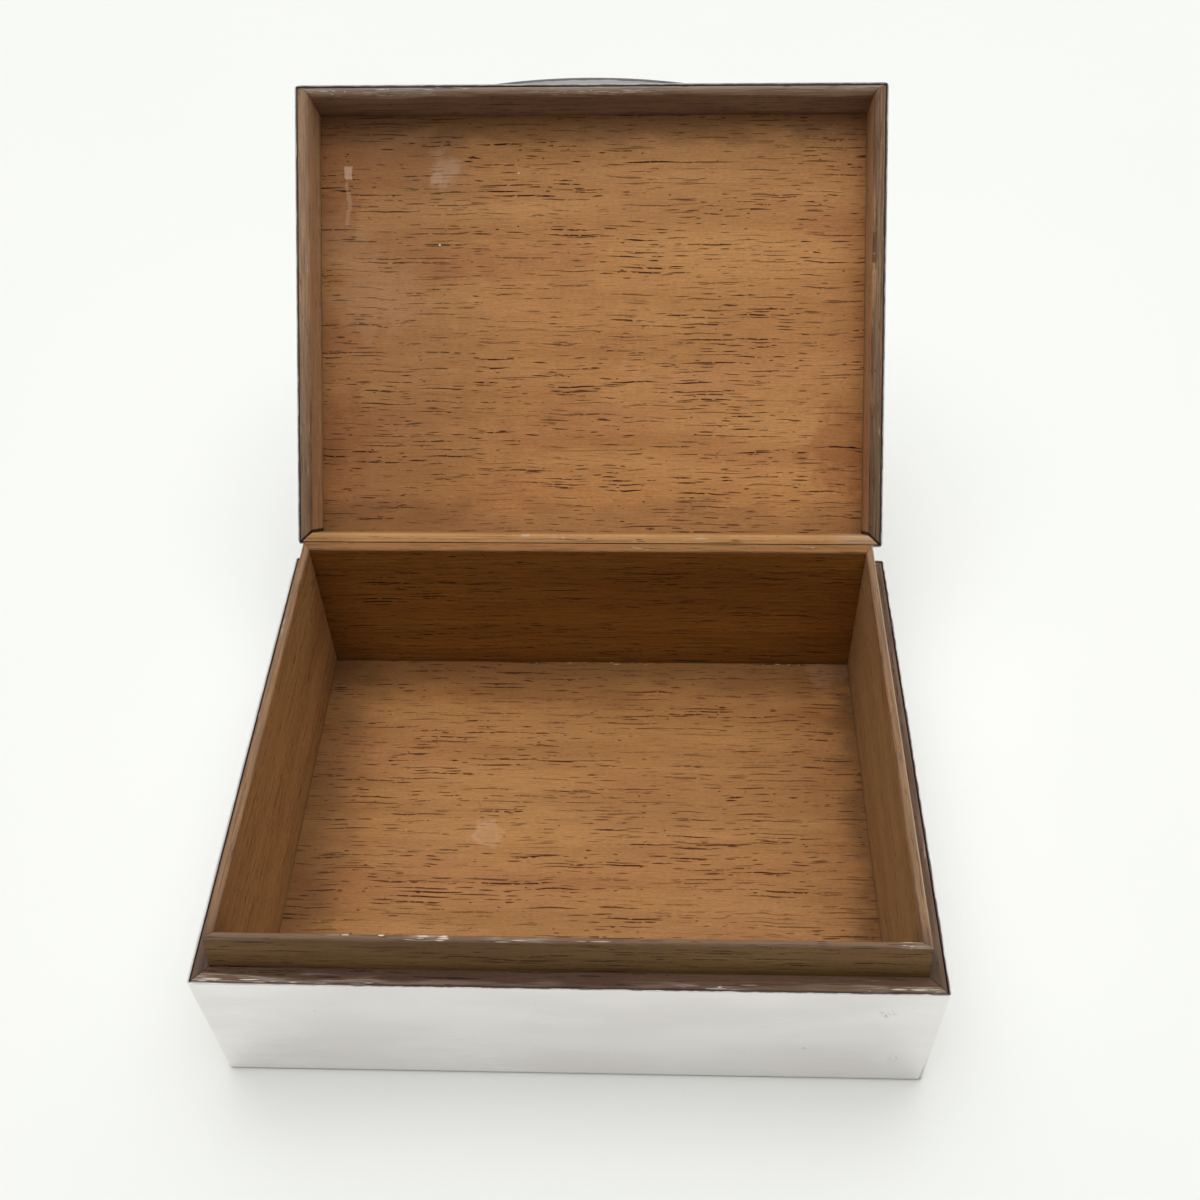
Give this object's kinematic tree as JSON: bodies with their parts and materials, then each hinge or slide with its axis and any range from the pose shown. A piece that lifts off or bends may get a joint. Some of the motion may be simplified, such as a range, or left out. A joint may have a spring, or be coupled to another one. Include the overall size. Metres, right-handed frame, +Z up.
{
  "type": "cigarette box",
  "caption": "Rectangular silver table box lined with wood, with a shallow hinged lid that opens past upright onto a stop and a slim bowed thumb-piece on its front edge.",
  "frame": {"origin": "Middle of the flat underside that the box stands on", "axes": "+X along the width, +Y from the front to the hinge at the back, +Z up"},
  "size_m": [0.1142, 0.1612, 0.0958],
  "materials": {
    "silver": "polished silver sheet with fine wear",
    "hinge_wire": "drawn wire",
    "panel_wood": "waxed open-pored wood, light orange brown",
    "wall_wood": "waxed open-pored wood, brown",
    "ledge_wood": "worn grey-brown wood",
    "base_wood": "plain board",
    "baize": "short wool cloth"
  },
  "bodies": {
    "box": {"silver_body_band": "silver", "base_baize": "baize", "base_board": "base_wood", "floor_panel": "panel_wood", "carcass_front": "ledge_wood", "carcass_right": "ledge_wood", "carcass_back": "ledge_wood", "carcass_left": "ledge_wood", "liner_front": "wall_wood", "liner_right": "wall_wood", "liner_back": "wall_wood", "liner_left": "wall_wood", "body_hinge_bearer": "silver", "body_knuckle_1": "silver", "body_knuckle_2": "silver", "body_knuckle_3": "silver", "hinge_pin": "hinge_wire"},
    "lid": {"silver_lid_shell": "silver", "thumb_piece": "silver", "lid_panel": "panel_wood", "lid_frame_front": "ledge_wood", "lid_frame_right": "ledge_wood", "lid_frame_back": "ledge_wood", "lid_frame_left": "ledge_wood", "lid_hinge_bearer": "silver", "lid_knuckle_1": "silver", "lid_knuckle_2": "silver"}
  },
  "joints": [
    {"name": "lid_hinge", "type": "hinge", "parent": "box", "child": "lid", "pos_m": [0, 0.04595, 0.0296], "axis": [1, 0, 0], "range_deg": [0, 133]}
  ]
}
